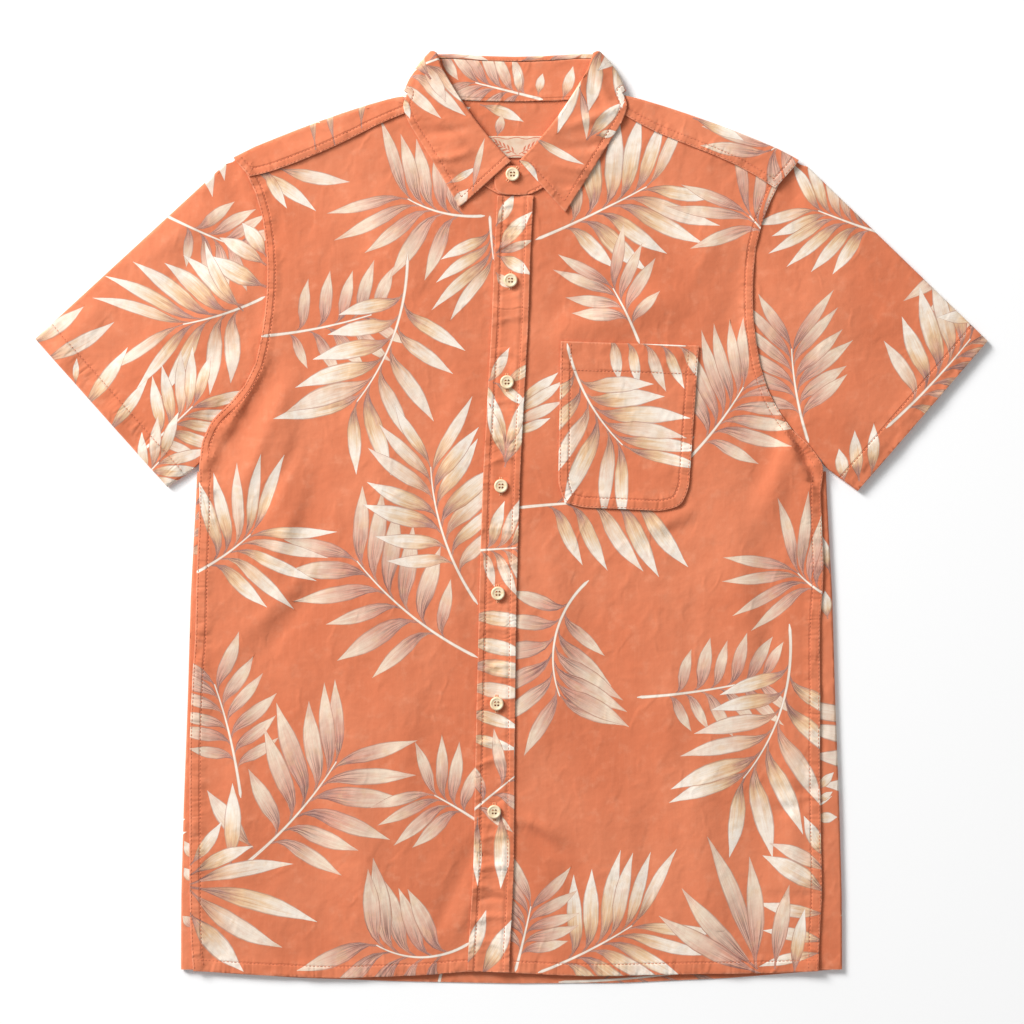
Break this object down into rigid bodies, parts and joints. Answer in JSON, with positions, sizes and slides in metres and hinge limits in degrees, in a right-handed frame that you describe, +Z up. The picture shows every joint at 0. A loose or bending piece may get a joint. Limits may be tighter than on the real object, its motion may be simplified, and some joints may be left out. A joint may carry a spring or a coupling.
{
  "type": "hawaiian shirt",
  "caption": "Short-sleeved printed cotton shirt with palm fronds on coral, buttoned and laid flat on its back, with a turned-down collar and a chest pocket.",
  "frame": {"origin": "middle of the flat underside, at the middle of the laid shirt's width and length", "axes": "+X towards the wearer's left sleeve, +Y towards the collar, +Z up from the surface that the shirt lies on"},
  "size_m": [0.7894, 0.7728, 0.011],
  "materials": {
    "printed_cotton": "soft matt cotton poplin, printed with palm fronds",
    "label_cloth": "plain woven cotton tape",
    "button_resin": "satin cream resin"
  },
  "bodies": {
    "root": {"back": "printed_cotton", "yoke": "printed_cotton", "yoke_inner": "printed_cotton", "front_right": "printed_cotton", "front_left": "printed_cotton", "placket": "printed_cotton", "pocket": "printed_cotton", "sleeve_right": "printed_cotton", "sleeve_left": "printed_cotton", "collar_stand": "printed_cotton", "collar_leaf": "printed_cotton", "neck_label": "label_cloth", "button_collar": "button_resin", "button_1": "button_resin", "button_2": "button_resin", "button_3": "button_resin", "button_4": "button_resin", "button_5": "button_resin", "button_6": "button_resin"}
  },
  "joints": []
}
